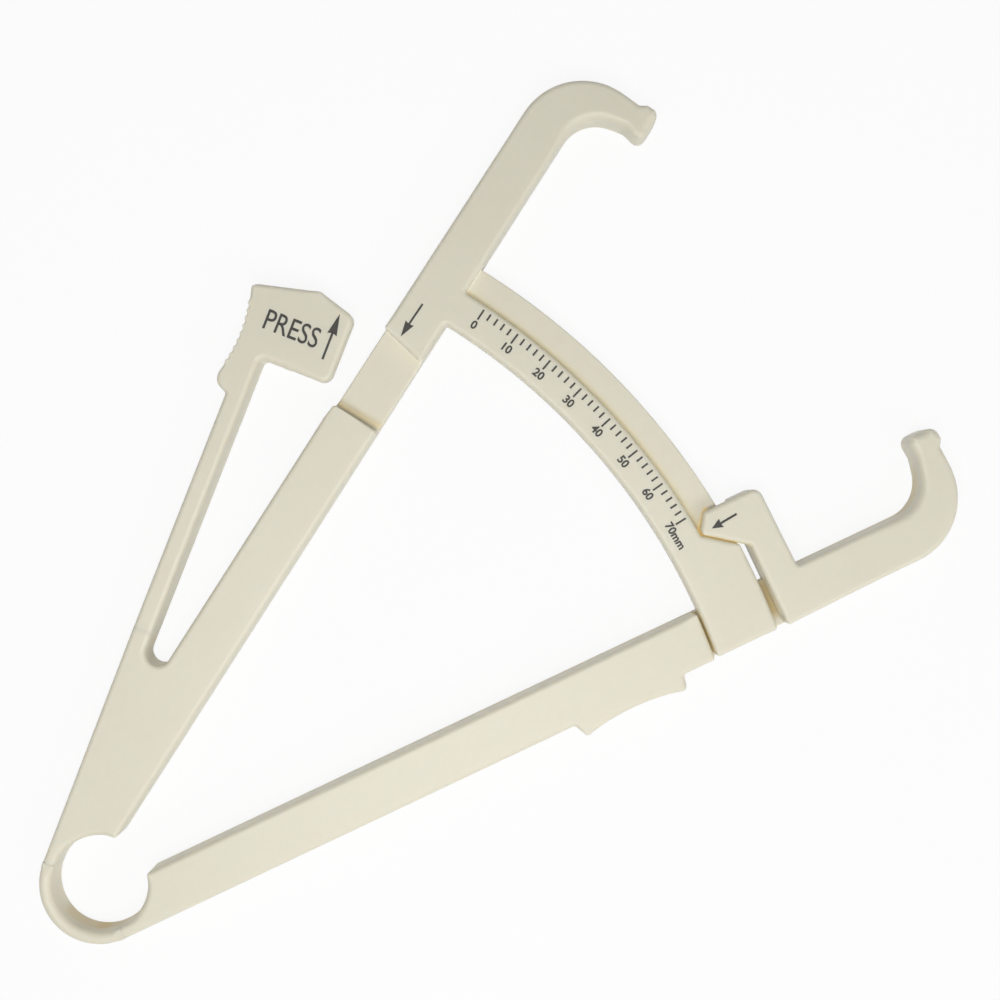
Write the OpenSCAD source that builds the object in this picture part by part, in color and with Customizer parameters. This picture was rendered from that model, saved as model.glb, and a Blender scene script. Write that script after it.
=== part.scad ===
// Skinfold caliper with a spring ring hinge, a curved millimetre scale and a press lever.
// It lies on its back: the centre of the ring hole is the origin, +X points between the
// two arms to the jaws, +Y to the side of the scale arm, and +Z out of the printed face.

/* [Arms] */
// Thickness of the whole moulding
body_t = 7; // [6:0.1:9]
// Angle between the two arms when nothing presses on them
open_angle = 32.1; // [26:0.1:39]
// Distance from the hinge centre, along an arm, at which the hook begins
hook_start = 152; // [126:0.5:183]
// Distance of an arm's inner edge from the line through the hinge centre
inner_v = 1.87; // [1.2:0.01:3]
// Distance of the scale arm's outer edge from that line, below the press recess
scale_arm_outer_v = 11.15; // [10:0.05:12.5]
// Distance of the pointer arm's outer edge from that line
pointer_arm_outer_v = 10.85; // [10:0.05:12.5]
// Distance of both outer edges from that line where the hooks begin
hook_outer_v = 10.4; // [9.5:0.05:11.5]
// Radius of the corner where an arm's inner edge meets the ring hole
nose_r = 1; // [0.5:0.1:1.5]

/* [Spring ring] */
// Radius of the hole through the ring
ring_hole_r = 8.65; // [7.2:0.05:10.4]
// Wall of the spring ring
ring_wall = 2.2; // [1.6:0.1:3]

/* [Jaws] */
// How far the hook reaches beyond its start
hook_reach = 17.7; // [16:0.05:20]
// Radius of the hook's outer bend
hook_outer_r = 12.4; // [11:0.1:14]
// Radius of the hook's inner bend
hook_inner_r = 7; // [5:0.1:8]
// How far the hook's inner side leans back over its height
hook_slant = 1.6; // [0.5:0.1:2.5]
// Distance from the line through the hinge to the contact face, on the inner side
face_depth = 10.3; // [9:0.05:11.5]
// Length of the foot behind the contact face
foot_h = 4; // [3:0.1:5]
// Width of the neck between hook and foot
neck_w = 4.8; // [4:0.1:5.5]
// How far a foot stands out past the neck on its outer side
foot_lip = 0.65; // [0.3:0.05:1]
// How far the scale jaw's foot stands out past the neck on its inner side
scale_heel = 0.42; // [0:0.02:0.8]
// How far the pointer jaw's foot stands out past the neck on its inner side
pointer_heel = 0.12; // [0:0.02:0.8]
// Radius of the flatter contact face on the scale jaw
scale_crown_r = 60; // [20:5:120]
// Radius of the crowned contact face on the pointer jaw
pointer_crown_r = 11; // [8:0.5:40]

/* [Scale] */
// Distance between the scale's inner edge and the start of the hooks, along an arm
scale_set_back = 34.2; // [30:0.1:40]
// Width of the printed band
band_w = 6.6; // [5:0.1:8]
// Width of the lower rail that the pointer slides over
rail_w = 5.3; // [4:0.1:6.5]
// Clearance between sliding faces in the direction of the thickness
slide_gap = 0.3; // [0.2:0.05:0.5]
// Thickness of the pointer where it lies over the rail
pointer_t = 2; // [1.5:0.1:2.5]
// Thickness of the rail
rail_t = 2.2; // [1.6:0.1:3]
// Distance between the scale's tail and the pointer arm's outer edge, at rest
tail_inset = 0.2; // [0:0.05:1]

/* [Pointer arm] */
// Gap between the end of the arm and the scale's inner edge
channel_inner_gap = 0.5; // [0.3:0.05:1]
// Gap between the scale's outer edge and the pointer's stem
channel_outer_gap = 1.5; // [1:0.1:2]
// Width of the pointer's stem where it stands on the arm
stem_w = 6.1; // [5:0.1:8]
// How much narrower the stem is at its top
stem_taper = 0.35; // [0:0.05:1]
// Height of the pointer's top edge above the line through the hinge
pointer_h = 13.95; // [12:0.05:16]
// Height of the pointer's tip above that line
tip_h = 10.3; // [9:0.1:11.5]
// Length of the pointer's blunt end above its tip
tip_edge = 1.1; // [0.8:0.1:1.6]
// Slope of the pointer's lower edge and of the stop that it rests on
stop_slope = 38; // [30:1:45]
// Clearance between the pointer and the stop at rest
stop_gap = 0.25; // [0.1:0.05:0.5]
// Distance between the middle of the finger rest and the scale's inner edge
rest_set_back = 18; // [14:0.2:26]
// Length of the finger rest
rest_l = 21.6; // [18:0.2:26]
// Height of the finger rest's two ends above the arm's edge
rest_h = 2.6; // [1.8:0.1:4]
// Depth of the hollow in the finger rest
rest_dip = 1.1; // [0.6:0.1:1.6]
// Radius of the hollow in the finger rest
rest_hollow_r = 41; // [30:1:60]

/* [Press recess] */
// Distance between the end of the press recess and the scale's inner edge
recess_set_back = 6.5; // [4:0.1:12]
// Length of the press recess at the arm's outer edge
recess_l = 16.4; // [13.6:0.1:19.7]
// How much shorter the press recess is at the arm's inner edge
recess_slant = 1.7; // [0:0.1:3]
// How far the arm's outer edge steps in at the recess
recess_step = 0.4; // [0:0.05:0.8]
// Length of the soft ramp at that step
ramp_l = 4; // [2:0.5:6]
// Clearance under the tongue in the press recess
tongue_gap = 0.4; // [0.2:0.05:0.6]

/* [Press lever] */
// Angle between the lever and the scale arm
lever_lean = 11.1; // [9.2:0.1:13.4]
// Width of the springy beam
beam_w = 3.5; // [2.5:0.1:4.5]
// Distance of the beam's outer edge from the line through the hinge
beam_outer_v = 11.2; // [10.9:0.05:12]
// Radius of the end of the slot between the lever and the scale arm
slot_r = 2.3; // [1.5:0.1:3]
// Distance between the end of the slot's rounding and the start of the springy beam
beam_root_l = 2.7; // [1:0.1:5]
// Distance between the start of the press recess and the pad
pad_offset = 3.2; // [2.5:0.1:4]
// Length of the grip between the beam and the pad
grip_l = 8.1; // [6:0.1:10]
// Length of the pad along the tongue's edge
pad_l = 12.9; // [11:0.1:13.4]
// How much longer the pad is where the tongue begins
pad_slant = 2.1; // [0:0.1:3]
// Width of the whole pad
pad_w = 19.6; // [17:0.1:23.5]
// How far the pad stands out past the beam on the thumb's side
pad_overhang = 3; // [2.5:0.1:4]
// Width of the thin tongue that slides over the scale arm
tongue_w = 7.4; // [6:0.1:9]
// Radius of the hollow that the thumb presses on
thumb_r = 25.4; // [20:0.2:35]
// Depth of the hollow that the thumb presses on
thumb_dip = 1.7; // [1:0.1:2.5]
// Height of the horn at the lower end of the thumb's hollow
horn_h = 0.1; // [0:0.05:0.3]
// How far that horn stands in from the start of the grip
horn_lean = 1.5; // [0.5:0.1:2]
// How far the grip's other end leans in on the thumb's side
end_lean = 1; // [0:0.1:1.5]
// Height of the fine ridges on the thumb's side
ridge_h = 0.2; // [0.1:0.05:0.4]
// Angle between two neighbouring ridges, seen from the middle of the thumb's arc
ridge_pitch = 3.2; // [2.5:0.1:4]
// Number of fine ridges on the thumb's side
ridge_count = 9; // [5:1:12]

/* [Corners] */
// Radius of small corners, seen from the front
corner_r = 1; // [0.5:0.1:1.3]
// Radius of the pad's and the stem's large corners
pad_corner_r = 1.8; // [1.2:0.1:2.2]
// Radius of the pointer's tip
tip_r = 0.5; // [0.3:0.1:0.7]

/* [Cored back] */
// Thickness of the front skin over the hollows in the back
skin_t = 2; // [1.5:0.1:3]
// Thickness of the walls round the hollows
core_wall = 1.7; // [1.2:0.1:2.5]
// Thickness of the ribs between the hollows
rib_t = 1.2; // [0.8:0.1:2]
// Largest length of one hollow
core_l = 14; // [8:0.5:17]
// Radius of the corners of the hollows
core_r = 0.7; // [0.3:0.1:0.9]

/* [Hidden] */
$fn = 96;
round_fn = 360;          // sides of the large discs and rings
arc_step = 9;            // largest angle between the points of a rounded corner
far = 200;               // longer than any piece
through = 1;             // how far a cutter stands out of what it cuts
half_open = open_angle / 2;
ring_r = ring_hole_r + ring_wall;
core_z = body_t - skin_t;
// Levels above the back: the bridge, the rail and the pointer share the thickness.
pointer_z = body_t - pointer_t;
rail_z = pointer_z - slide_gap;
scale_z = rail_z - rail_t;
bridge_z = scale_z - slide_gap;
tongue_z = (body_t + 2 * slide_gap) / 2;
recess_z = tongue_z - tongue_gap;
// Radii of the scale, and where the pointer's stem stands
scale_inner_r = hook_start - scale_set_back;
step_r = scale_inner_r + band_w;
scale_outer_r = step_r + rail_w;
channel_r = scale_inner_r - channel_inner_gap;
stem_u = scale_outer_r + channel_outer_gap;
stem_end_u = stem_u + stem_w;
// Recess
recess_end = scale_inner_r - recess_set_back;
recess_start = recess_end - recess_l;
recess_outer_v = scale_arm_outer_v - recess_step;

// ---- Outlines ---------------------------------------------------------------

function unit(v) = v / norm(v);
function heading(v) = atan2(v[1], v[0]);
function short_turn(a) = a > 180 ? a - 360 : a < -180 ? a + 360 : a;
function flat(p) = [p[0], p[1]];

// The points of one corner q between p and s, rounded by the radius q[2].
function corner(p, q, s) =
    len(q) < 3 ? [q] :
    let (
        a = unit(flat(p) - flat(q)),
        b = unit(flat(s) - flat(q)),
        half = acos(a * b) / 2,
        from = flat(q) + a * q[2] / tan(half),
        to = flat(q) + b * q[2] / tan(half),
        centre = flat(q) + unit(a + b) * q[2] / sin(half),
        start = heading(from - centre),
        sweep = short_turn(heading(to - centre) - start),
        n = max(2, ceil(abs(sweep) / arc_step))
    )
    [for (i = [0:n]) centre + q[2] * [cos(start + sweep * i / n), sin(start + sweep * i / n)]];

// A closed outline whose corners are given as [x, y] or [x, y, radius].
function rounded(path) =
    let (n = len(path))
    [for (i = [0:n - 1]) each corner(path[(i + n - 1) % n], path[i], path[(i + 1) % n])];

module plate(path, z0, z1) {
    translate([0, 0, z0])
        linear_extrude(z1 - z0)
            polygon(rounded(path));
}

module disc(r, z0, z1) {
    translate([0, 0, z0])
        cylinder(r = r, h = z1 - z0, $fn = round_fn);
}

// A round hole through the whole thickness
module bore(r) {
    disc(r, -through, body_t + through);
}

module ring_band(r0, r1, z0, z1) {
    difference() {
        disc(r1, z0, z1);
        bore(r0);
    }
}

// ---- Places -----------------------------------------------------------------

// On an arm, x runs along it from the hinge and y is positive on its outer side.
module on_scale_arm() {
    rotate(half_open) children();
}

module on_pointer_arm() {
    mirror([0, 1, 0]) rotate(half_open) children();
}

module on_lever() {
    on_scale_arm() rotate(lever_lean) children();
}

// A point of the lever's own frame, in the frame of the scale arm
function lever_pt(p) = [
    p[0] * cos(lever_lean) - p[1] * sin(lever_lean),
    p[0] * sin(lever_lean) + p[1] * cos(lever_lean)
];

// ---- Hollows in the back ----------------------------------------------------

// A row of equal hollows between an inner line and an outer line that may slant.
module hollows(u0, u1, inner, outer0, outer1, depth) {
    count = max(1, ceil((u1 - u0) / core_l));
    pitch = (u1 - u0 + rib_t) / count;
    function outer_at(u) = outer0 + (outer1 - outer0) * (u - u0) / (u1 - u0);
    for (i = [0:count - 1]) {
        a = u0 + i * pitch;
        b = a + pitch - rib_t;
        plate([
            [a, inner, core_r], [b, inner, core_r],
            [b, outer_at(b), core_r], [a, outer_at(a), core_r]
        ], -through, depth);
    }
}

// ---- Scale arm --------------------------------------------------------------

beam_inner_v = beam_outer_v - beam_w;
// Where the slot's two edges would meet, and where its rounding begins and ends
slot_apex_u = (scale_arm_outer_v * cos(lever_lean) - beam_inner_v) / sin(lever_lean);
slot_end_u = slot_apex_u + slot_r / sin(lever_lean / 2) - slot_r;
slot_round_l = slot_r / tan(lever_lean / 2);
beam_start = slot_apex_u * cos(lever_lean) + scale_arm_outer_v * sin(lever_lean)
    + slot_round_l + beam_root_l;
nose_u = sqrt(pow(ring_hole_r, 2) - pow(inner_v, 2));
core_start = ring_r + core_wall + nose_r;
core_v = inner_v + core_wall;

module scale_arm_blank() {
    plate([
        [nose_u - nose_r, 0], [nose_u, inner_v, nose_r],
        [hook_start, inner_v], [hook_start, hook_outer_v],
        [recess_start + ramp_l / 4, recess_outer_v, ramp_l],
        [recess_start - 3 * ramp_l / 4, scale_arm_outer_v, ramp_l],
        [slot_apex_u, scale_arm_outer_v, slot_r],
        lever_pt([beam_start, beam_inner_v]), lever_pt([beam_start, beam_outer_v]),
        lever_pt([0, ring_r]), [0, 0]
    ], 0, body_t);
}

// The recess across the front of the arm that the press tongue slides into
module press_recess() {
    top = scale_arm_outer_v + through;
    plate([
        [recess_start, 0], [recess_end - recess_slant, 0],
        [recess_end - recess_slant, inner_v],
        [recess_end, recess_outer_v], [recess_end, top], [recess_start, top]
    ], recess_z, body_t + through);
}

// The widest part of the arm, between the ring and the slot, has hollows that widen.
module root_hollows() {
    function outer_at(u) = (ring_r - core_wall + u * sin(lever_lean)) / cos(lever_lean);
    end = slot_end_u - core_wall;
    hollows(core_start, end, core_v, outer_at(core_start), outer_at(end), core_z);
}

module scale_arm() {
    outer = scale_arm_outer_v - core_wall;
    recess_outer = recess_outer_v - core_wall;
    color("ivory") on_scale_arm() difference() {
        scale_arm_blank();
        bore(ring_hole_r);
        press_recess();
        root_hollows();
        hollows(slot_end_u + core_wall / 2, recess_start - core_wall, core_v,
            outer, outer, core_z);
        hollows(recess_start, recess_end - core_wall, core_v,
            recess_outer, recess_outer, recess_z - skin_t);
        hollows(recess_end + core_wall, hook_start, core_v,
            recess_outer, hook_outer_v - core_wall, core_z);
    }
}

// ---- Jaws -------------------------------------------------------------------

hook_u = hook_start + hook_reach;
neck_v = foot_h - face_depth;
neck_u = hook_u - neck_w;
bend_u = neck_u - hook_slant;
neck_draft = 0.2;        // the hook's outer side turns in by this much at the neck

module hook() {
    difference() {
        plate([
            [hook_start, inner_v], [bend_u, inner_v, hook_inner_r],
            [neck_u, neck_v], [hook_u - neck_draft, neck_v],
            [hook_u, hook_outer_v - hook_outer_r - neck_draft],
            [hook_u, hook_outer_v, hook_outer_r],
            [hook_start, hook_outer_v]
        ], 0, body_t);
        // one hollow follows the bend
        plate([
            [hook_start + rib_t, core_v, core_r], [bend_u + core_wall, core_v, hook_inner_r],
            [neck_u + rib_t, neck_v + core_wall, core_r],
            [hook_u - core_wall, neck_v + core_wall, core_r],
            [hook_u - core_wall, hook_outer_v - core_wall, hook_outer_r - core_wall],
            [hook_start + rib_t, hook_outer_v - core_wall, core_r]
        ], -through, core_z);
    }
}

// The foot widens from the neck to a crowned contact face with soft corners.
module foot(crown_r, heel) {
    intersection() {
        plate([
            [neck_u, neck_v],
            [neck_u - heel, neck_v - foot_h / 2, corner_r],
            [neck_u - heel, -face_depth, corner_r],
            [hook_u + foot_lip, -face_depth, corner_r],
            [hook_u + 0.8 * foot_lip, neck_v - foot_h / 3, corner_r],
            [hook_u - neck_draft, neck_v]
        ], 0, body_t);
        translate([hook_u - neck_w / 2, crown_r - face_depth])
            bore(crown_r);
    }
}

module scale_jaw() {
    color("ivory") on_scale_arm() hook();
}

module scale_jaw_foot() {
    color("ivory") on_scale_arm() foot(scale_crown_r, scale_heel);
}

module pointer_jaw() {
    color("ivory") on_pointer_arm() hook();
}

module pointer_jaw_foot() {
    color("ivory") on_pointer_arm() foot(pointer_crown_r, pointer_heel);
}

// ---- Scale ------------------------------------------------------------------

// The pointer's tip reaches the step between band and rail but for a small gap.
tip_gap = 0.4;
tip_u = sqrt(pow(step_r + tip_gap, 2) - pow(tip_h, 2));

// All that lies beyond the sloping stop that the pointer rests on
module beyond_stop() {
    on_pointer_arm()
        translate([tip_u, stop_gap - tip_h, -through])
            rotate(stop_slope)
                translate([-far / 2, 0])
                    cube([far, far, body_t + 2 * through]);
}

// Between the scale arm's inner edge and the tail, which ends in line with the pointer arm
module scale_span() {
    intersection() {
        on_scale_arm()
            translate([0, inner_v - far, -through])
                cube([far, far, body_t + 2 * through]);
        on_pointer_arm()
            translate([0, pointer_arm_outer_v - tail_inset - far, -through])
                cube([far, far, body_t + 2 * through]);
    }
}

// The printed band; past the stop it is as wide as band and rail together.
module scale_arc() {
    color("ivory") intersection() {
        union() {
            ring_band(scale_inner_r, step_r, scale_z, body_t);
            intersection() {
                ring_band(step_r - through, scale_outer_r, scale_z, body_t);
                beyond_stop();
            }
        }
        scale_span();
    }
}

module slide_rail() {
    color("ivory") difference() {
        intersection() {
            ring_band(step_r, scale_outer_r, scale_z, rail_z);
            scale_span();
        }
        beyond_stop();
    }
}

// ---- Spring ring ------------------------------------------------------------

ring_start = half_open + lever_lean + 90;
ring_end = 270 - half_open;

module hinge_ring() {
    color("ivory")
        rotate([0, 0, ring_start])
            rotate_extrude(angle = ring_end - ring_start, $fn = round_fn)
                translate([ring_hole_r, 0])
                    square([ring_wall, body_t]);
}

// ---- Pointer arm ------------------------------------------------------------

// Distance of the arm's outer edge from the line through the hinge: it runs straight from the
// ring to the channel.
function pointer_outer(u) = ring_r + (pointer_arm_outer_v - ring_r) * min(1, u / channel_r);

module pointer_arm() {
    core_end = channel_r - 2 * core_wall;
    color("ivory") on_pointer_arm() difference() {
        intersection() {
            plate([
                [nose_u - nose_r, 0], [nose_u, inner_v, nose_r],
                [stem_u, inner_v], [stem_u, pointer_arm_outer_v],
                [channel_r, pointer_arm_outer_v], [0, ring_r], [0, 0]
            ], 0, body_t);
            bore(channel_r);
        }
        bore(ring_hole_r);
        hollows(core_start, core_end, core_v, pointer_outer(core_start) - core_wall,
            pointer_outer(core_end) - core_wall, core_z);
    }
}

// The thin bridge behind the scale
module slide_bridge() {
    inside = channel_r - recess_set_back;
    color("ivory") on_pointer_arm() difference() {
        plate([
            [inside, inner_v], [stem_u, inner_v],
            [stem_u, pointer_arm_outer_v], [inside, pointer_arm_outer_v]
        ], 0, bridge_z);
        bore(channel_r);
    }
}

module pointer_arm_tip() {
    color("ivory") on_pointer_arm() difference() {
        plate([
            [stem_u, inner_v], [hook_start, inner_v],
            [hook_start, hook_outer_v], [stem_u, pointer_arm_outer_v]
        ], 0, body_t);
        hollows(stem_u + core_wall, hook_start, core_v,
            pointer_arm_outer_v - core_wall, hook_outer_v - core_wall, core_z);
    }
}

module pointer() {
    stem_foot_v = (stem_u - tip_u) * tan(stop_slope) - tip_h;
    chamfer = (pointer_h - tip_h) / 2;
    color("ivory") on_pointer_arm() {
        // the stem, as thick as the arm
        plate([
            [stem_u, inner_v], [stem_u, -pointer_h],
            [stem_end_u - stem_taper, -pointer_h, pad_corner_r], [stem_end_u, inner_v]
        ], 0, body_t);
        // the finger, over the rail
        plate([
            [stem_u, stem_foot_v], [tip_u, -tip_h, tip_r],
            [tip_u, -tip_h - tip_edge, corner_r], [tip_u + chamfer, -pointer_h, corner_r],
            [stem_u, -pointer_h]
        ], pointer_z, body_t);
    }
}

module finger_rest() {
    middle = scale_inner_r - rest_set_back;
    end = rest_l / 2;
    top = pointer_outer(middle) + rest_h;
    color("ivory") on_pointer_arm() difference() {
        plate([
            [middle - end, pointer_outer(middle - end)],
            [middle - end + rest_h / 2, top, corner_r],
            [middle + end - rest_h / 5, top, corner_r],
            [middle + end, pointer_outer(middle + end)]
        ], 0, body_t);
        translate([middle, top - rest_dip + rest_hollow_r])
            bore(rest_hollow_r);
    }
}

// ---- Press lever ------------------------------------------------------------

pad_start = recess_start + pad_offset;
pad_end = pad_start + pad_l;
grip_start = pad_start - grip_l;
pad_outer_v = beam_outer_v + pad_overhang;
tongue_v = pad_outer_v - pad_w;
shoulder_v = tongue_v + tongue_w;
thumb_centre = [(grip_start + pad_end + 1) / 2, pad_outer_v - thumb_dip + thumb_r];

// The slanted top edge of the tongue
function pad_slope(v) = pad_end + pad_slant * (v - tongue_v) / tongue_w;

module lever_beam() {
    color("ivory") on_lever()
        plate([
            [beam_start, beam_inner_v], [grip_start, beam_inner_v],
            [grip_start, beam_outer_v], [beam_start, beam_outer_v]
        ], 0, body_t);
}

module thumb_grip() {
    core_top = pad_outer_v - thumb_dip - core_wall;
    color("ivory") on_lever() {
        difference() {
            plate([
                [grip_start, beam_inner_v], [pad_start, beam_inner_v, corner_r],
                [pad_start, shoulder_v], [pad_slope(shoulder_v), shoulder_v],
                [pad_end - end_lean, pad_outer_v, pad_corner_r],
                // the thumb's hollow takes this point off
                [thumb_centre[0], pad_outer_v - thumb_dip / 2],
                [grip_start + horn_lean, pad_outer_v + horn_h, corner_r],
                [grip_start, beam_outer_v]
            ], 0, body_t);
            translate(thumb_centre)
                bore(thumb_r);
            hollows(pad_start + core_wall, pad_end - core_wall, shoulder_v + core_wall,
                core_top, core_top, core_z);
        }
        for (i = [0:ridge_count - 1]) {
            a = 270 + (i - (ridge_count - 1) / 2) * ridge_pitch;
            translate(thumb_centre + (thumb_r + ridge_h) * [cos(a), sin(a)])
                cylinder(r = 2 * ridge_h, h = body_t, $fn = 24);
        }
    }
}

module press_tongue() {
    color("ivory") on_lever()
        plate([
            [pad_start, shoulder_v], [pad_start, tongue_v, pad_corner_r],
            [pad_end, tongue_v, pad_corner_r], [pad_slope(shoulder_v), shoulder_v]
        ], tongue_z, body_t);
}

scale_arm();
scale_jaw();
scale_jaw_foot();
scale_arc();
slide_rail();
hinge_ring();
pointer_arm();
slide_bridge();
pointer_arm_tip();
pointer();
finger_rest();
pointer_jaw();
pointer_jaw_foot();
lever_beam();
thumb_grip();
press_tongue();
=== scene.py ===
"""A skinfold caliper moulded in ivory plastic, with its printed scale, lying on a white table.

The CAD nodes have crisp edges. Each moulded piece here takes its outline from the flat faces of
its CAD nodes and gives it the soft edges of the real moulding, so it stays where the nodes are.
Lengths are in millimetres until a mesh is made.
"""
import math

import bmesh
import bpy
import numpy as np
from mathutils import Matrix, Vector
from mathutils.geometry import delaunay_2d_cdt


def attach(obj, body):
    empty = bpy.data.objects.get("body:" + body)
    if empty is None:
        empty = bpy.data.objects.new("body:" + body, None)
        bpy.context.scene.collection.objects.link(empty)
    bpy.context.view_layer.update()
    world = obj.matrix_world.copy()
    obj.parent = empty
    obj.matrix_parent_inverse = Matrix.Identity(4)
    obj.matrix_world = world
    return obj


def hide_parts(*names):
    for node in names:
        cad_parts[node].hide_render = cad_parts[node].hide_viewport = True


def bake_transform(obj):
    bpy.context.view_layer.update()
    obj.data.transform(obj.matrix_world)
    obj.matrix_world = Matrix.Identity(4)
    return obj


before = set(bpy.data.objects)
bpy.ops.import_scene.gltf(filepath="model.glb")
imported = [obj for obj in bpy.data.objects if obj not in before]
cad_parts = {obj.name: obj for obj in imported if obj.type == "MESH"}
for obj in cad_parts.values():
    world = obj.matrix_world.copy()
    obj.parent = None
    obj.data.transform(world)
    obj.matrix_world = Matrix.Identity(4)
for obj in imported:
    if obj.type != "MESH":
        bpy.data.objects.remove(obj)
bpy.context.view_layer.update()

MM = 0.001
INK_T = 0.015            # how far the print stands proud; the plastic's front is this much lower

ARM_ANGLE = 16.05        # turn of either arm from the line of symmetry
LEVER_ANGLE = 27.15      # turn of the press lever from that line

# ---- Places on the object ---------------------------------------------------


def turned(points, angle):
    """Points (n, 2) turned about the ring's centre by an angle in degrees, counter-clockwise."""
    c, s = math.cos(math.radians(angle)), math.sin(math.radians(angle))
    return np.asarray(points, float) @ [[c, s], [-s, c]]


def on_lever(u, v):
    """A place along the press lever; v is positive on its outer side."""
    return turned([u, v], LEVER_ANGLE)


def on_scale_arm(u, v):
    """A place along the arm with the scale; v is negative towards the other arm."""
    return turned([u, v], ARM_ANGLE)


def on_pointer_arm(u, v):
    """A place along the arm with the pointer; v is negative towards the other arm."""
    return turned([u, -v], -ARM_ANGLE)


# The corner at the outer end of the thumb grip is rounder in plan
GRIP_CORNER = complex(*on_lever(109, 13.5))
GRIP_CORNER_NEAR = 3
GRIP_CORNER_R = 1.3

# The corners of the jaws' feet and the tip of the grip's horn, which are round like a knob, as
# (place, reach along the outline)
KNOBS = [
    (complex(*place), reach) for place, reach in (
        (on_scale_arm(164.8, -10.1), 1.3), (on_scale_arm(170.1, -10.1), 1.4),
        (on_pointer_arm(165.0, -9.9), 1.3), (on_pointer_arm(170.1, -9.8), 1.4),
        (on_lever(91.7, 14.1), 1.9),
    )
]

# ---- Reading the CAD nodes --------------------------------------------------


def triangles(node):
    """The corners of a CAD node's triangles, as an array (n, 3, 3)."""
    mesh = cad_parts[node].data
    mesh.calc_loop_triangles()
    points = np.empty(3 * len(mesh.vertices))
    mesh.vertices.foreach_get("co", points)
    corners = np.empty(3 * len(mesh.loop_triangles), int)
    mesh.loop_triangles.foreach_get("vertices", corners)
    return points.reshape(-1, 3)[corners.reshape(-1, 3)] / MM


def rise(tri):
    """Twice the area of each triangle seen from above, negative where it faces down."""
    return np.cross(tri[:, 1] - tri[:, 0], tri[:, 2] - tri[:, 0])[:, 2]


def flats(node, height, up=True):
    """The triangles of a node that lie flat at a height and face up or down, as an array
    (n, 3, 2) of corners that run counter-clockwise from above."""
    tri = triangles(node)
    area = rise(tri)
    level = np.abs(tri[:, :, 2] - height).max(axis=1) < 1e-3
    found = tri[level & (area > 1e-9 if up else area < -1e-9)][:, :, :2]
    return found if up else found[:, ::-1]


def heights(node, up=True):
    """All heights at which a node has flat faces that face up or down, from low to high."""
    tri = triangles(node)
    area = rise(tri)
    level = (np.ptp(tri[:, :, 2], axis=1) < 1e-3) & (area > 1e-6 if up else area < -1e-6)
    return np.unique(np.round(tri[level][:, 0, 2], 2)).tolist()


def fronts(*nodes):
    """The flat front of each of some nodes."""
    return [flats(node, heights(node)[-1]) for node in nodes]


def back(node):
    """The flat back of a node."""
    return flats(node, heights(node, up=False)[0], up=False)


# An outline is an array of complex numbers, x + iy, that runs counter-clockwise round the
# material. Edge number i goes from point i to the next.

SHARP = math.radians(25)     # an outline that turns by more has a corner there
NEAR = 0.05                  # points or edges of the CAD nodes that are nearer count as one
STRAIGHT = 0.0015            # a point that lies nearer to its neighbours' line is left out
CORNER_R = 0.65              # plan radius of corners that the CAD nodes have sharp
CORNER_SHARE = 0.45          # most of the way to the next corner that a rounding takes
CURVE_POINTS = 7             # points of a rounded corner
EDGE_L = 2.5                 # longest edge of a finished outline
EDGE_TURN = math.radians(7)  # and the most that it turns by from one edge to the next


def following(line):
    """The next point or edge, for each one."""
    return np.roll(line, -1)


def previous(line):
    """The point or edge before, for each one."""
    return np.roll(line, 1)


def xy(line):
    """The points of an outline as pairs (n, 2)."""
    return np.column_stack([line.real, line.imag])


def turns(line):
    """The angle that an outline turns by at each point, positive to the left."""
    edge = following(line) - line
    return np.angle(edge / previous(edge))


def steps(count):
    """Repeats number i of a list count[i] times, and also gives each copy's own place."""
    index = np.repeat(np.arange(len(count)), count)
    return index, np.arange(len(index)) - np.repeat(np.cumsum(count) - count, count)


def thinned(line, joined):
    """Drops points that hardly lie apart from the next one, then those on a straight line."""
    far = np.abs(following(line) - line) > NEAR
    line, joined = line[far], joined[far]
    base = following(line) - previous(line)
    off = np.abs(((line - previous(line)) * base.conj()).imag) / np.abs(base)
    keep = (off > STRAIGHT) | (joined != previous(joined))
    return line[keep], joined[keep]


def corner_radius(place):
    """The plan radius of a corner, which is more at the outer end of the thumb grip."""
    return GRIP_CORNER_R if abs(place - GRIP_CORNER) < GRIP_CORNER_NEAR else CORNER_R


def soft_corners(line, joined):
    """The free corners and the knobs of an outline, as (place, angle that it turns by there,
    reach of the rounding along it). The reach is the radius times the tangent of half the
    angle, or less where two roundings would meet."""
    turn = np.abs(turns(line))
    kept = joined | previous(joined)
    stop = (turn > SHARP) | kept
    length = np.abs(following(line) - line)
    found = []
    if stop.any():
        apart = np.add.reduceat(length, np.flatnonzero(stop))
        apart[-1] += length[:np.argmax(stop)].sum()
        room = CORNER_SHARE * np.minimum(apart, previous(apart))[~kept[stop]]
        sharp = stop & ~kept
        for place, angle, most in zip(line[sharp], turn[sharp], room):
            if all(abs(place - knob) > reach for knob, reach in KNOBS):
                found.append((place, angle, min(corner_radius(place) * math.tan(angle / 2), most)))
    for knob, reach in KNOBS:
        apart = np.abs(line - knob)
        if apart.min() < reach:
            found.append((line[np.argmin(apart)], abs(turns(line)[apart < reach].sum()), reach))
    return found


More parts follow.
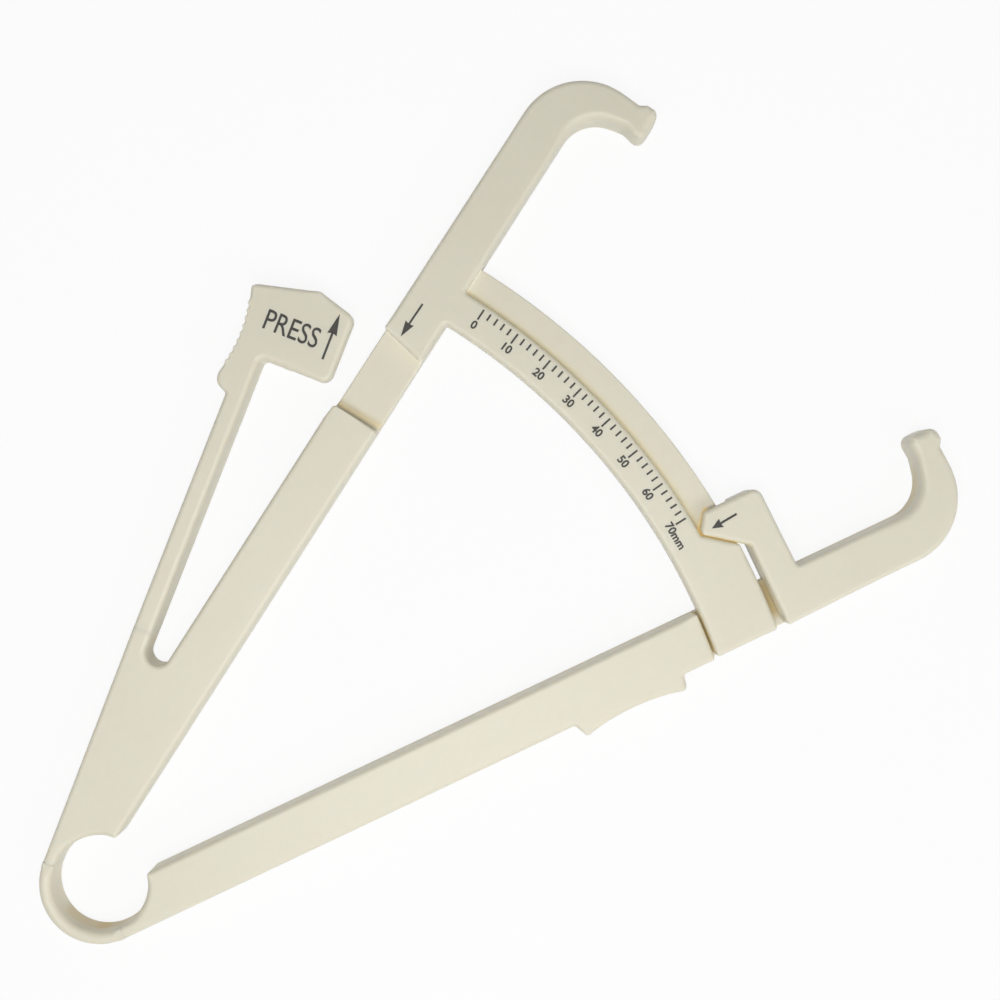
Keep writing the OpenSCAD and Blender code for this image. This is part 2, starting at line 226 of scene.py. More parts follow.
def softened(line, joined):
    """Rounds each corner. The points within reach of it, measured along the outline, make way
    for a Bezier curve whose handles are those of a circular arc."""
    for place, angle, reach in soft_corners(line, joined):
        middle = len(line) // 2
        shift = middle - np.argmin(np.abs(line - place))
        line, joined = np.roll(line, shift), np.roll(joined, shift)
        along = np.cumsum(np.abs(line - previous(line)))
        along -= along[middle]
        ends = np.interp([-reach, reach], along, line)
        before, after = along < -reach - NEAR / 2, along > reach + NEAR / 2
        start = ends[0] - line[before][-1]
        end = line[after][0] - ends[1]
        start, end = start / abs(start), end / abs(end)
        handle = 4 / 3 * math.tan(angle / 4) / math.tan(angle / 2)
        handle *= abs(ends[1] - ends[0]) / (2 * math.cos(angle / 2))
        t = np.linspace(0, 1, CURVE_POINTS)
        curve = (
            (1 - t) ** 3 * ends[0] + 3 * t * (1 - t) ** 2 * (ends[0] + handle * start)
            + 3 * t**2 * (1 - t) * (ends[1] - handle * end) + t**3 * ends[1]
        )
        line = np.concatenate([line[before], curve, line[after]])
        joined = np.concatenate([joined[before], np.zeros(CURVE_POINTS, bool), joined[after]])
    return line, joined


def refined(line, joined):
    """Adds points along the edges of an outline. Between corners it follows a cubic curve whose
    direction at a point is that from the point before to the point after."""
    edge = following(line) - line
    length, smooth = np.abs(edge), np.abs(turns(line)) < SHARP
    passing = edge + previous(edge)
    passing /= np.abs(passing)
    start = np.where(smooth, passing * length, edge)
    end = np.where(following(smooth), following(passing) * length, edge)
    bend = np.abs(np.angle(end / start))
    count = np.maximum(np.ceil(length / EDGE_L), np.ceil(bend / EDGE_TURN)).astype(int)
    index, step = steps(count)
    t = step / count[index]
    return (
        (1 + 2 * t) * (1 - t) ** 2 * line[index] + t**2 * (3 - 2 * t) * following(line)[index]
        + t * (1 - t) ** 2 * start[index] - t**2 * (1 - t) * end[index]
    ), joined[index]


def touching(line, region):
    """Which edges of an outline have a region of triangles just outside their middle."""
    edge = following(line) - line
    spot = (line + edge / 2 - NEAR * 1j * edge / np.abs(edge))[:, None, None]
    corner = region[..., 0] + 1j * region[..., 1]
    side = np.roll(corner, -1, axis=1) - corner
    return (((spot - corner) * side.conj()).imag > 0).all(axis=2).any(axis=1)


def outlines(regions, beside=()):
    """The closed outlines round the union of flat regions. One Delaunay mesh merges all their
    triangles, and an edge of the regions whose reverse isn't theirs is on an outline. Each
    outline is (line, joined), where joined marks the edges that have one of the regions beside
    on their other side. The one that comes nearest to the ring's centre is first."""
    own = sum(len(region) for region in regions)
    points = np.concatenate([*regions, *beside]).reshape(-1, 2)
    faces = np.arange(len(points)).reshape(-1, 3).tolist()
    merged = delaunay_2d_cdt([Vector(p) for p in points], [], faces, 1, 1e-3)
    verts, tris = np.array(merged[0]) @ [1, 1j], np.array(merged[2])
    mine = np.array([min(sources, default=own) < own for sources in merged[5]])
    edges = np.stack([tris, np.roll(tris, -1, axis=1)], axis=2)[mine].reshape(-1, 2)
    rim = edges[~np.isin(edges @ [len(verts), 1], edges @ [1, len(verts)])]
    after = dict(rim.tolist())
    loops = []
    while after:
        start, at = after.popitem()
        loop = [start]
        while at != start:
            loop.append(at)
            at = after.pop(at)
        line = verts[loop]
        joined = touching(line, np.concatenate(beside)) if beside else np.zeros(len(line), bool)
        loops.append(refined(*softened(*thinned(line, joined))))
    return sorted(loops, key=lambda loop: np.abs(loop[0]).min())


def hollows(*nodes):
    """The hollows in the back of these nodes, as (outline, height of its floor)."""
    found = []
    for node in nodes:
        for height in heights(node, up=False)[1:]:
            found += [(line, height) for line, _ in outlines([flats(node, height, up=False)])]
    return found


def inside(line, place):
    """Whether a place lies inside an outline: seen from there, it goes all the way round."""
    return np.abs(np.angle(following(line - place) / (line - place)).sum()) > 1


def under(outline, found):
    """Those of the hollows found whose middle lies inside an outline."""
    return [(hole, floor) for hole, floor in found if inside(outline[0], hole.mean())]


# ---- Soft-edged plates ------------------------------------------------------

EDGE = 0.85              # rounding of the front edges
RING_EDGE = 1.15         # and round the ring's hole
HOLE_NEAR = (9, 10.5)    # distances from the ring's centre between which the second fades
BACK_EDGE = 0.5
RIM = 0.2                # rounding at the mouth of a hollow
FRONT_STEPS = 6
BACK_STEPS = 3
HOLD = 0.06              # distance of the extra loop that keeps a flat face flat
OPEN = 0.01              # a hollow whose floor is nearer to the front goes right through
SPARE = 0.85             # part of the room at a tight curve that a rounding may take
EASING = 0.6             # how fast a rounding grows with the distance from there


def offset(line, inset, cut, reach=0.0):
    """An outline whose points have moved inwards, so that their edges lie at each point's inset.
    A cut edge stays, but for its reach outwards, and its neighbours' points move along it."""
    along = following(line) - line
    along /= np.abs(along)
    before, turn = previous(along), np.sin(turns(line))
    d_after = np.where(cut, -reach, inset)
    d_before = np.where(previous(cut), -reach, inset)
    corner = np.abs(turn) > math.sin(SHARP)
    meet = (d_before * along - d_after * before) / np.where(corner, turn, 1)
    slide = (d_before + d_after) * 1j * (along + before) / np.abs(along + before) ** 2
    return line + np.where(corner, meet, slide)


def rounding(line, radius, cut):
    """The rounding at each point of an outline, from that of its edges. It is less near tight
    curves and short edges, so that no moved edge turns over: an edge shrinks as it moves, by
    the tangents of half the turns at its two ends."""
    half = np.tan(turns(line) / 2)
    room = np.abs(following(line) - line) / np.maximum(half + following(half), 1e-6)
    room = np.where(cut, np.inf, SPARE * room - HOLD)
    middle = (line + following(line)) / 2
    apart = np.abs(middle[:, None] - middle)
    limit = np.maximum((room + EASING * apart).min(axis=1), 0)
    free = np.where(cut, np.inf, np.minimum(radius, limit))
    at_point = np.minimum(free, previous(free))
    return np.where(np.isinf(at_point), 0, at_point)


def eased(t):
    """Rises from 0 to 1 as t does, but is level at both ends: 3 t squared less 2 t cubed."""
    return t * t * (3 - 2 * t)


def softer(line, base, spots):
    """The rounding of each edge: the base value, or more on the wall of the ring's hole. It nears
    another one round each soft spot (place, reach, radius) by a smooth fall-off."""
    inner, outer = HOLE_NEAR
    by_hole = np.clip((outer - np.abs(line)) / (outer - inner), 0, 1)
    radius = base + (RING_EDGE - base) * eased(by_hole)
    for (x, y), reach, target in spots:
        near = np.clip(1 - np.abs(line - x - 1j * y) / reach, 0, 1)
        radius += (target - radius) * eased(near)
    return radius


def grid(rings, base=0):
    """The points of equal closed rings, and the quads between each ring and the next."""
    count = len(rings[0])
    here = base + np.arange(count * (len(rings) - 1)).reshape(-1, count)
    below = here + count
    quads = np.stack([here, below, np.roll(below, -1, axis=1), np.roll(here, -1, axis=1)], axis=2)
    return np.concatenate(rings), quads.reshape(-1, 4).tolist()


def cap(points, loops, up):
    """Triangles over a flat outline with holes, whose normals face up or down. Each loop is an
    array of point numbers, and the outline comes first."""
    number = np.concatenate(loops)
    ends = np.cumsum([len(loop) for loop in loops])
    faces = [list(range(end - len(loop), end)) for end, loop in zip(ends, loops)]
    mesh = delaunay_2d_cdt([Vector(p) for p in points[number][:, :2]], [], faces, 1, 1e-7)
    material = np.array([sources == [0] for sources in mesh[5]])
    first = np.array([sources[0] if sources else -1 for sources in mesh[3]])
    corners = first[np.array(mesh[2])[material]]
    corners = number[corners[(corners >= 0).all(axis=1)]]
    return (corners if up else corners[:, ::-1]).tolist()


def plate(outline, z0, z1, edge=EDGE, back_edge=BACK_EDGE, soft=(), holes=(), rim=RIM, reach=0.0):
    """A plate with soft edges. Its profile, carried round the outline, is a quarter circle from
    the front face, a straight wall and a smaller quarter circle to the back. A joined edge stays
    square and reaches that much into its neighbour. Each hole is (outline, floor height): it
    opens to the back with a rounded rim, and goes right through if its floor isn't below z1."""
    line, cut = outline
    none = np.zeros(len(line))
    top = rounding(line, softer(line, edge, soft), cut) if edge else none
    bottom = rounding(line, none + back_edge, cut) if back_edge else none

    def ring(inset, height):
        flat = offset(line, inset, cut, reach)
        return np.column_stack([xy(flat), none + height])

    rings = [ring(top + HOLD, z1)]
    for angle in np.radians(np.linspace(0, 90, FRONT_STEPS + 1)):
        rings.append(ring(top * (1 - math.sin(angle)), z1 - top * (1 - math.cos(angle))))
    rings.append(ring(none, z1 - top - HOLD))
    rings.append(ring(none, z0 + bottom + HOLD))
    for angle in np.radians(np.linspace(90, 0, BACK_STEPS + 1)):
        rings.append(ring(bottom * (1 - math.sin(angle)), z0 + bottom * (1 - math.cos(angle))))
    rings.append(ring(bottom + HOLD, z0))
    verts, faces = grid(rings)
    front_loops = [np.arange(len(line))]
    back_loops = [np.arange(len(verts) - len(line), len(verts))]
    for hole, floor in holes:
        uncut, mouth = np.zeros(len(hole), bool), len(verts)
        # a quarter circle in two straight steps, then the wall, as (growth, depth)
        profile = ((rim, 0), (0.3 * rim, 0.3 * rim), (0, rim), (0, min(floor, z1) - z0))
        more, walls = grid([
            np.column_stack([xy(offset(hole, np.full(len(hole), -growth), uncut)),
                             np.full(len(hole), z0 + depth)])
            for growth, depth in profile
        ], mouth)
        verts = np.concatenate([verts, more])
        faces += walls
        back_loops.append(np.arange(mouth, mouth + len(hole)))
        end = np.arange(len(verts) - len(hole), len(verts))
        if floor > z1 - OPEN:
            front_loops.append(end)
        else:
            faces += cap(verts, [end], up=False)
    faces += cap(verts, front_loops, up=True)
    faces += cap(verts, back_loops, up=False)
    return verts, faces


def solid(name, *parts):
    """One object from the points and faces of its parts, in millimetres. Points of one part that
    coincide become one, and edges are smooth up to the angle that counts as a corner."""
    whole = bmesh.new()
    mesh = bpy.data.meshes.new(name)
    for points, polygons in parts:
        mesh.clear_geometry()
        mesh.from_pydata((points * MM).tolist(), [], polygons)
        part = bmesh.new()
        part.from_mesh(mesh)
        bmesh.ops.remove_doubles(part, verts=part.verts, dist=1e-7)
        part.to_mesh(mesh)
        part.free()
        whole.from_mesh(mesh)
    whole.to_mesh(mesh)
    whole.free()
    mesh.polygons.foreach_set("use_smooth", np.ones(len(mesh.polygons), bool))
    mesh.set_sharp_from_angle(angle=SHARP)
    piece = bpy.data.objects.new(name, mesh)
    bpy.context.collection.objects.link(piece)
    return piece


# ---- The moulding -----------------------------------------------------------

front_z = heights("scale_arm")[-1]
top_z = front_z - INK_T

LIFT = 0.01              # height of a thin plate's back, just clear of its neighbours' backs


def hook_spots(on_arm):
    """The soft spots of one jaw: round its hook, and round its foot."""
    return [(on_arm(161, 1), 13, 1.4), (on_arm(167, -9), 5, 2.0)]


# The spring ring, which on the real caliper bends between the two sides
ring_line, = outlines(fronts("hinge_ring"), fronts("scale_arm", "pointer_arm"))
spring_ring = solid("spring_ring", plate(ring_line, 0, top_z))
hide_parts("hinge_ring")
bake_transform(spring_ring)

# The scale side, from the ring to the press recess and from there to the jaw
scale_nodes = ("scale_arm", "scale_jaw", "scale_jaw_foot")
root_line, tip_line = outlines(fronts(*scale_nodes), fronts("hinge_ring", "lever_beam"))
_, upper_line = outlines(fronts(*scale_nodes, "scale_arc"))
recess_z = heights("scale_arm")[0]
recess_line, = outlines([flats("scale_arm", recess_z)], fronts("scale_arm"))
rail_line, = outlines(fronts("slide_rail"), fronts("scale_arc", "scale_arm"))
band_z = heights("scale_arc", up=False)[0]
root_soft = [(on_scale_arm(94.9, 6.5), 7, 0.25)]       # crisp beside the press recess
scale_hollows = hollows("scale_arm", "scale_jaw")
root_holes, recess_holes, tip_holes = (
    under(line, scale_hollows) for line in (root_line, recess_line, tip_line))
scale_body = solid(
    "scale_body",
    plate(root_line, 0, top_z, soft=root_soft, holes=root_holes),
    plate(recess_line, LIFT, recess_z, edge=0.3, holes=recess_holes, reach=0.35),
    plate(tip_line, 0, band_z, edge=0, holes=tip_holes),
    plate(upper_line, band_z, top_z, back_edge=0, soft=hook_spots(on_scale_arm),
          holes=tip_holes, rim=0),
    plate(rail_line, band_z, heights("slide_rail")[-1], edge=0.3, reach=0.3),
)
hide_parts("scale_arm", "scale_jaw", "scale_jaw_foot", "scale_arc", "slide_rail")
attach(scale_body, "scale_side")

# The pointer side: the arm up to the channel, the bridge, and the end with pointer and jaw
end_nodes = ("pointer_arm_tip", "pointer_jaw", "pointer_jaw_foot")
arm_line, = outlines(fronts("pointer_arm", "finger_rest"), fronts("hinge_ring"))
end_line, = outlines([back("pointer"), *fronts(*end_nodes)])
flush_line, = outlines(fronts("pointer", *end_nodes))
bridge_line, = outlines(fronts("slide_bridge"), fronts("pointer_arm", "pointer_arm_tip"))
finger_z = heights("pointer", up=False)[-1]
pointer_hollows = hollows("pointer_arm", "pointer_arm_tip", "pointer_jaw")
pointer_body = solid(
    "pointer_body",
    plate(arm_line, 0, top_z, holes=under(arm_line, pointer_hollows)),
    plate(bridge_line, LIFT, heights("slide_bridge")[-1], edge=0.2, reach=0.35),
    plate(end_line, 0, finger_z, edge=0, holes=under(end_line, pointer_hollows)),
    plate(flush_line, finger_z, top_z, back_edge=0, soft=hook_spots(on_pointer_arm)),
)
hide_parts("pointer_arm", "finger_rest", "slide_bridge", "pointer", *end_nodes)
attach(pointer_body, "pointer_side")

# The press lever, whose beam on the real caliper bends between its root and the thumb grip
lever_line, = outlines(fronts("lever_beam", "thumb_grip"), fronts("scale_arm"))
tongue_line, = outlines(fronts("lever_beam", "thumb_grip", "press_tongue"), fronts("scale_arm"))
tongue_z = heights("press_tongue", up=False)[0]
lever_soft = [
    (on_lever(100.5, 13.5), 10, 0.28),      # crisp at the ribs under the thumb
    (on_lever(98, 4), 7, 1.3),              # rounder on the side that faces the ring
]
grip_hollows = hollows("thumb_grip")
press_lever = solid(
    "lever_body",
    plate(lever_line, 0, tongue_z, edge=0, holes=grip_hollows),
    plate(tongue_line, tongue_z, top_z, back_edge=0, soft=lever_soft, holes=grip_hollows, rim=0),
)
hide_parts("lever_beam", "thumb_grip", "press_tongue")
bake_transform(press_lever)

# ---- Print ------------------------------------------------------------------

SCALE_ZERO = 14.8        # angle of the 0 mark
DEGREES_PER_MM = 24.19 / 70
MARK_END = 123.6         # radius of the marks' outer ends
MARK_L = 1.35
TENTH_L = 2.1            # each tenth mark is longer
MARK_W = 0.34
NUMBER_R = 120.4         # radius of the numbers' middles
NUMBER_H = 1.6
NUMBER_WEIGHT = 0.03     # how much the font's strokes grow, as part of its size
LAST_NUMBER = 72.3       # where the middle of "70mm" is on the scale
RECTANGLE = [(-0.5, -0.5), (0.5, -0.5), (0.5, 0.5), (-0.5, 0.5)]
ARROW_HEAD = [(0, 0), (-1, 0.5), (-0.92, 0), (-1, -0.5)]
SHAFT_END = 0.9          # how far from the tip the shaft ends, in lengths of the head

ink_z = (front_z, front_z - 2 * INK_T)     # the print's front, and its back in the plastic


def flat_solids(outline, places):
    """Thin plates of ink: one closed prism over the same outline at each place. A place is
    (centre, direction of the outline's x, scale along x and y)."""
    points, faces, count = [], [], len(outline)
    for number, (centre, angle, size) in enumerate(places):
        flat = turned(np.asarray(outline) * size, angle) + centre
        for height in ink_z:
            points.append(np.column_stack([flat, np.full(count, height)]))
        base = 2 * count * number
        top = list(range(base, base + count))
        faces.append(top)
        faces.append([i + count for i in reversed(top)])
        faces += [[a, a + count, b + count, b] for a, b in zip(top, top[1:] + top[:1])]
    return np.concatenate(points), faces


def bearing(value):
    """The angle of a value on the scale, in degrees."""
    return SCALE_ZERO - value * DEGREES_PER_MM


def mark(value):
    """The place of one scale mark, for flat_solids."""
    length = MARK_L if value % 10 else TENTH_L
    angle = bearing(value)
    return turned([MARK_END - length / 2, 0], angle), angle, (length, MARK_W)


def arrow(tail, tip, width, head, shaft):
    """An arrow as two prisms: a shaft from the tail, and a head whose notch takes it in."""
    tail, tip = np.array(tail), np.array(tip)
    angle = math.degrees(math.atan2(*(tip - tail)[::-1]))
    length = np.linalg.norm(tip - tail) - SHAFT_END * head
    middle = tail + turned([length / 2, 0], angle)
    return (
        flat_solids(ARROW_HEAD, [(tip, angle, (head, width))]),
        flat_solids(RECTANGLE, [(middle, angle, (length, shaft))]),
    )


def lettering(text, centre, angle, height, weight, squeeze=1.0):
    """Plain letters or numbers as thin ink, centred on a place and turned by an angle. Their
    width is the font's times the squeeze."""
    curve = bpy.data.curves.new("letters", "FONT")
    curve.body = text
    curve.align_x = "CENTER"
    curve.align_y = "CENTER"
    curve.extrude = 0.001
    curve.offset = weight
    curve.resolution_u = 4
    holder = bpy.data.objects.new("letters", curve)
    bpy.context.collection.objects.link(holder)
    bpy.context.view_layer.update()
    mesh = bpy.data.meshes.new_from_object(holder)
    points = np.empty(3 * len(mesh.vertices))
    mesh.vertices.foreach_get("co", points)
    points = points.reshape(-1, 3)
    middle = (points.min(axis=0) + points.max(axis=0)) / 2
    size = height / np.ptp(points[:, 1])
    flat = (points - middle)[:, :2] * size * [squeeze, 1]
    thick = np.where(points[:, 2] > middle[2], *ink_z)
    verts = np.column_stack([turned(flat, angle) + centre, thick])
    faces = [list(polygon.vertices) for polygon in mesh.polygons]
    bpy.data.objects.remove(holder)
    bpy.data.curves.remove(curve)
    bpy.data.meshes.remove(mesh)
    return verts, faces


def scale_number(text, value):
    """A number of the scale, centred below the marks and read from outside."""
    angle = bearing(value)
    return lettering(text, turned([NUMBER_R, 0], angle), angle - 90, NUMBER_H, NUMBER_WEIGHT)


scale_ink = solid(
    "scale_print",
    flat_solids(RECTANGLE, [mark(value) for value in range(0, 71, 2)]),
    *[scale_number(str(value), value) for value in range(0, 61, 10)],
    scale_number("70mm", LAST_NUMBER),
    *arrow(on_scale_arm(118.57, 7.11), on_scale_arm(111.53, 7.29), width=1.75, head=2.9,
           shaft=0.36),
)
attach(scale_ink, "scale_side")

press_ink = solid(
    "press_print",
    lettering("PRESS", on_lever(105.05, 4.2), LEVER_ANGLE - 90, height=3.75, weight=0.004,
              squeeze=0.79),
    *arrow(on_lever(101.95, -2.81), on_lever(110.67, -2.75), width=1.8, head=4.0, shaft=0.42),
)
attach(press_ink, "press_lever")

pointer_ink = solid(
    "pointer_print",
    *arrow(on_pointer_arm(131.33, -11.16), on_pointer_arm(126.19, -10.69), width=1.75, head=2.0,
           shaft=0.4),
)
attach(pointer_ink, "pointer_side")

# ---- Materials --------------------------------------------------------------


class Value:
    """A shader socket, on which Python's operators add Math nodes."""

    def __init__(self, nodes, socket):
        self.nodes, self.socket = nodes, socket

    def math(self, operation, *values):
        return self.nodes.add("ShaderNodeMath", {"operation": operation}, *values)

    def __add__(self, other):
        return self.math("ADD", self, other)

    def __radd__(self, other):
        return self.math("ADD", other, self)

    def __sub__(self, other):
        return self.math("SUBTRACT", self, other)

    def __rsub__(self, other):
        return self.math("SUBTRACT", other, self)

    def __mul__(self, other):
        return self.math("MULTIPLY", self, other)

    def __rmul__(self, other):
        return self.math("MULTIPLY", other, self)

    def __truediv__(self, other):
        return self.math("DIVIDE", self, other)

    def __pow__(self, other):
        return self.math("POWER", self, other)

    def __abs__(self):
        return self.math("ABSOLUTE", self)

    def hypot(self, other):
        """The square root of the sum of both squares."""
        return (self * self + other * other) ** 0.5

    def clamp(self):
        """Kept between 0 and 1."""
        return self.nodes.add("ShaderNodeClamp", {}, self, 0.0, 1.0)


class Nodes:
    """The nodes of one material, or of the world."""

    def __init__(self, name, kind=bpy.data.materials):
        self.owner = kind.new(name)
        self.owner.use_nodes = True
        self.tree = self.owner.node_tree
        self.tree.nodes.clear()

    def add(self, kind, settings=None, *values, output=0, **named):
        """Adds one node: its settings come first, then the values or links of its sockets, by
        number or by name. Returns one of its outputs."""
        node = self.tree.nodes.new(kind)
        for key, value in (settings or {}).items():
            setattr(node, key, value)
        for key, value in [*enumerate(values), *named.items()]:
            socket = node.inputs[key if isinstance(key, int) else key.replace("_", " ")]
            if isinstance(value, Value):
                self.tree.links.new(value.socket, socket)
            elif value is not None:
                socket.default_value = value
        return Value(self, node.outputs[output]) if node.outputs else None

    def mix(self, factor, first, second):
        """A colour between two, by a factor."""
        return self.add("ShaderNodeMix", {"data_type": "RGBA"},
                        factor, None, None, None, None, None, first, second, output=2)

    def noise(self, place, scale, detail):
        """Cloudy noise from about 0 to 1, with that many waves to a metre."""
        return self.add("ShaderNodeTexNoise", {}, place, None, scale, detail)

    def as_background(self):
        """1 where the camera sees a thing as background, directly or mirrored, and else 0."""
        path = self.add("ShaderNodeLightPath").socket.node.outputs
        camera, glossy, through = (
            Value(self, path[f"Is {kind} Ray"]) for kind in ("Camera", "Glossy", "Transmission"))
        return (camera + glossy + through).clamp()

    def finish(self, shader, output="ShaderNodeOutputMaterial"):
        """Links the shader to the output, and gives the material or the world."""
        self.add(output, {}, shader)
        return self.owner


def rgb(red, green, blue):
    """A colour given as it looks on a screen, from 0 to 255, as linear light, by the usual curve
    of screens: a straight part near black and a power of 2.4 above it."""
    screen = np.array([red, green, blue]) / 255
    linear = np.where(screen < 0.04045, screen / 12.92, ((screen + 0.055) / 1.055) ** 2.4)
    return (*linear, 1.0)


# Painted light and shade: a golden colour stands in for the shade, and for the light that comes
# through the plastic, at the foot of steps, on walls that face away from the lamps and in narrow
# gaps. Each place is (start, end, how far it spreads, the height where it begins and that where it
# starts to fade, strength). In the gaps a painted glow is added as well.
GAPS = [
    ((121.7, -24.0), (127.9, -31.7), 0.9, 3.8, 5.0, 0.9),      # between the scale and the pointer
    ((125.8, -21.5), (122.0, -23.9), 0.8, 3.8, 4.8, 0.8),      # the pointer's tip over the rail
    ((112.0, -34.3), (109.6, -41.4), 0.8, 2.4, 5.0, 0.9),      # at the scale's inner side
]
PAINTED_GOLDEN_SHADE_AND_LIGHT = GAPS + [
    ((125.0, -39.3), (123.3, -43.6), 2.2, 1.6, 2.6, 0.75),     # outer end of the channel
    ((89.0, 36.2), (91.5, 28.7), 1.5, 2.6, 4.4, 0.4),          # foot of the press recess
    ((34.6, 24.0), (35.4, 26.4), 2.0, 0.1, 4.0, 0.3),          # end of the slot beside the lever
    ((-8.9, -0.5), (-6.0, -6.6), 2.2, 0.1, 3.3, 0.45),         # wall of the ring's hole
    ((-6.0, -6.6), (-0.5, -8.9), 2.2, 0.1, 3.3, 0.45),
    ((158.8, -43.1), (153.0, -45.8), 4.0, 0.1, 3.0, 0.4),      # inner wall of the lower jaw
    ((7.0, -5.5), (111.0, -34.1), 2.5, 0.1, 1.0, 0.5),         # inner walls of the pointer's arm
    ((133.1, -40.3), (150.0, -45.0), 2.5, 0.1, 1.0, 0.5),
]
# Painted glow: at these places the plastic gives off a little light of its own
PAINTED_GLOW_PLACES = GAPS + [((89.0, 36.2), (91.5, 28.7), 0.6, 3.0, 5.0, 0.5)]
PALE = [      # steps that catch more white light than the lamps give
    ((104.0, 40.7), (104.9, 32.3), 0.5, 3.0, 5.0, 0.25),       # upper end of the press recess
    ((119.5, 36.3), (124.4, 37.7), 0.4, 3.8, 5.0, 0.25),       # start of the rail
    ((128.1, -31.8), (124.0, -44.5), 0.9, 2.4, 5.0, 0.3),      # the arm's wall beside the channel
]


def near_places(x, y, z, places):
    """How near one of the places is, from 0 to 1. At each it falls off smoothly with the distance
    to the nearest point of its line segment. It rises within a third of a millimetre above the
    height where it begins, and fades over two millimetres above the one where it starts to."""
    total = 0.0
    for start, end, spread, begin, fade, strength in places:
        along = np.subtract(end, start)
        right, up = x - start[0], y - start[1]
        share = ((right * along[0] + up * along[1]) / float(along @ along)).clamp()
        apart = (right - share * along[0]).hypot(up - share * along[1])
        near = (1 - apart / spread).clamp()
        low = ((fade + 2 - z) / 2).clamp() * (3 * (z - begin)).clamp()
        total = eased(near) * low * strength + total
    return total.clamp()


# Painted shade: the rail is tinted warm near the foot of the step below the printed band
STEP_R = 124.6           # radius of the step from the printed band down to the rail
STEP_REACH = 1.5         # distance from the step over which painted shade makes the rail warmer
RAIL_Z = (3.6, 5.5)      # heights between which the rail's face lies


def ivory_plastic():
    """Ivory injection-moulded plastic with a fine satin grain. Its colour is slightly mottled at
    random. Painted shade makes it warmer on the rail below the printed band, painted light and
    shade make it golden at the places above, and a painted glow stands in for light that comes
    through the plastic, with painted pale highlights at some steps."""
    n = Nodes("ivory_plastic")
    place = n.add("ShaderNodeTexCoord", {}, output=3)
    split = n.add("ShaderNodeSeparateXYZ", {}, place)
    x, y, z = (Value(n, split.socket.node.outputs[i]) / MM for i in range(3))
    cloud = n.noise(place, 60.0, 3.0)
    speck = n.noise(place, 900.0, 2.0)
    grain = n.noise(place, 2600.0, 2.0)
    # painted shade: a warm tone on the rail next to the step
    step = 1 - abs(x.hypot(y) - STEP_R) / STEP_REACH
    on_rail = (RAIL_Z[1] - z).clamp() * (2 * (z - RAIL_Z[0])).clamp()
    painted_warm_shade = (step.clamp() * on_rail).clamp() ** 1.5
    # painted light and shade: golden at the foot of steps, in gaps and on walls turned from the
    # lamps
    painted_golden_shade_and_light = near_places(x, y, z, PAINTED_GOLDEN_SHADE_AND_LIGHT)
    ivory = n.mix((cloud * 1.6 - 0.3).clamp(), rgb(226, 221, 202), rgb(229, 225, 207))
    ivory = n.mix((speck * 0.5 - 0.12).clamp(), ivory, rgb(222, 216, 196))
    # the painted warm shade goes into the base colour
    ivory = n.mix(painted_warm_shade * 0.55, ivory, rgb(205, 186, 122))
    # the painted golden light and shade goes into the base colour
    ivory = n.mix(painted_golden_shade_and_light, ivory, rgb(212, 188, 124))
    # painted glow: emission in the gaps and on the rail by the step, and painted pale highlights
    # at some steps
    painted_glow = n.mix(near_places(x, y, z, PAINTED_GLOW_PLACES), (0, 0, 0, 1), (0.20, 0.15, 0.055, 1))
    painted_glow = n.mix(painted_warm_shade * 0.3, painted_glow, (0.40, 0.32, 0.14, 1))
    painted_glow = n.mix(near_places(x, y, z, PALE), painted_glow, (0.50, 0.48, 0.42, 1))
    bump = n.add("ShaderNodeBump", {}, Strength=0.12, Distance=0.00002, Height=grain)
    shader = n.add(
        "ShaderNodeBsdfPrincipled", {},
        Base_Color=ivory, Roughness=0.38 + cloud * 0.12, Normal=bump,
        Subsurface_Weight=0.35, Subsurface_Radius=(1.0, 0.85, 0.65), Subsurface_Scale=0.0016,
        Specular_IOR_Level=0.45, IOR=1.49, Emission_Color=painted_glow, Emission_Strength=1.0,
    )
    return n.finish(shader)


def black_ink():
    """Matt dark ink, a little uneven where the pad printed it thin."""
    n = Nodes("print_ink")
    place = n.add("ShaderNodeTexCoord", {}, output=3)
    worn = n.noise(place, 1800.0, 3.0)
    colour = n.mix((worn * 1.4 - 0.4).clamp(), rgb(42, 41, 38), rgb(66, 63, 56))
    shader = n.add("ShaderNodeBsdfPrincipled", {}, Base_Color=colour, Roughness=0.45 + worn * 0.2)
    return n.finish(shader)


def white_table():
    """A white table top. The camera sees it as almost white, with a trace of the shadow left."""
    n = Nodes("white_table")
    place = n.add("ShaderNodeTexCoord", {}, output=3)
    fleck = n.noise(place, 40.0, 2.0)
    colour = n.mix(fleck, rgb(240, 240, 240), rgb(244, 244, 243))
    diffuse = n.add("ShaderNodeBsdfDiffuse", {}, colour, Roughness=0.5)
    light = n.add("ShaderNodeEmission", {}, (1, 1, 1, 1), Strength=1.0)
    white = n.as_background() * 0.9
    return n.finish(n.add("ShaderNodeMixShader", {}, white, diffuse, light))


def soft_room():
    """A plain room of dim white light all round, which the camera sees as white."""
    n = Nodes("soft_room", bpy.data.worlds)
    dim = n.add("ShaderNodeBackground", {}, (1, 1, 1, 1), Strength=0.3)
    white = n.add("ShaderNodeBackground", {}, (1, 1, 1, 1), Strength=1.0)
    room = n.add("ShaderNodeMixShader", {}, n.as_background(), dim, white)
    return n.finish(room, "ShaderNodeOutputWorld")


ivory = ivory_plastic()
ink = black_ink()
for piece in (spring_ring, scale_body, pointer_body, press_lever):
    piece.data.materials.append(ivory)
for piece in (scale_ink, press_ink, pointer_ink):
    piece.data.materials.append(ink)

# ---- Table, light and camera ------------------------------------------------


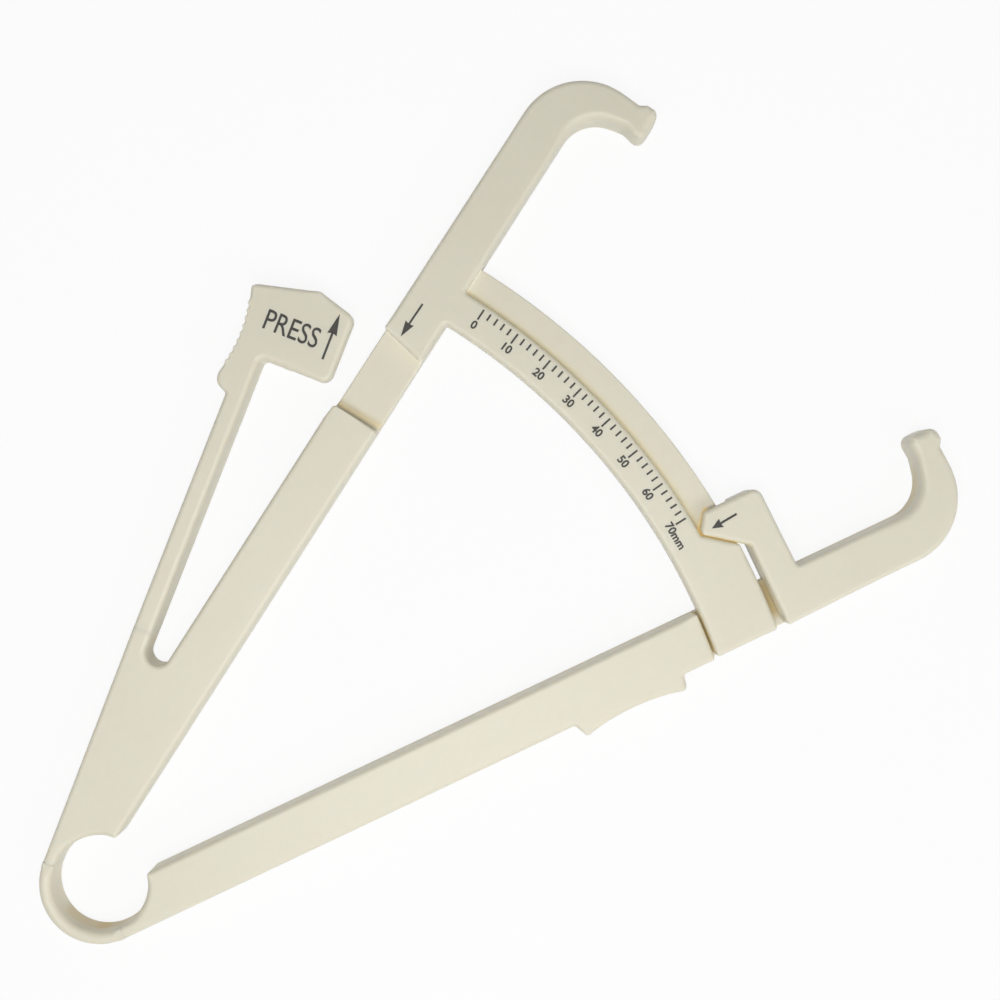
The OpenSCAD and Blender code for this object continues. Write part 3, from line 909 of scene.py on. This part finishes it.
TABLE_W = 6000
TABLE_GAP = 0.02             # how far the table is below the caliper's back
CAMERA_OVER = (99.2, 4.2)    # place on the caliper that the camera looks straight down on
CAMERA_HEIGHT = 257.0
SENSOR = 36
PICTURE = 1000               # width of the picture in pixels
PICTURE_TURN = 41.35         # how far the caliper's +X is turned up from the picture's right
PIXELS_PER_MM = 5.6          # at the front face


def table():
    """The table top: one flat square just below the caliper's back."""
    square = np.array(RECTANGLE) * TABLE_W
    top = solid("table_top", (np.column_stack([square, [-TABLE_GAP] * 4]), [[0, 1, 2, 3]]))
    top.data.materials.append(white_table())


def camera():
    """The camera looks straight down. Its focal length is the sensor's width times the distance
    to the front face, divided by the width of that face that fills the picture."""
    data = bpy.data.cameras.new("camera")
    data.sensor_fit = "HORIZONTAL"
    data.sensor_width = SENSOR
    data.lens = SENSOR * PIXELS_PER_MM * (CAMERA_HEIGHT - front_z) / PICTURE
    data.clip_start = 0.01
    holder = bpy.data.objects.new("camera", data)
    holder.location = (CAMERA_OVER[0] * MM, CAMERA_OVER[1] * MM, CAMERA_HEIGHT * MM)
    holder.rotation_euler = (0, 0, math.radians(-PICTURE_TURN))
    bpy.context.collection.objects.link(holder)
    bpy.context.scene.camera = holder


def in_picture(right, up):
    """A direction in the row frame from the picture's right and up."""
    return turned([right, up], -PICTURE_TURN)


def lamp(name, right, up, height, size, power):
    """A square soft lamp, placed by the picture's right and up from the camera's axis, that
    faces the middle of the caliper."""
    data = bpy.data.lights.new(name, "AREA")
    data.size = size * MM
    data.energy = power
    holder = bpy.data.objects.new(name, data)
    place = in_picture(right, up) + CAMERA_OVER
    holder.location = (*(place * MM), height * MM)
    aim = Vector((CAMERA_OVER[0] * MM, CAMERA_OVER[1] * MM, 0)) - holder.location
    holder.rotation_euler = aim.to_track_quat("-Z", "Y").to_euler()
    bpy.context.collection.objects.link(holder)


table()
camera()
lamp("key_lamp", right=-20, up=-90, height=310, size=160, power=0.52)
lamp("side_lamp", right=330, up=-280, height=330, size=200, power=0.7)
bpy.context.scene.world = soft_room()
bpy.context.scene.view_settings.view_transform = "Standard"
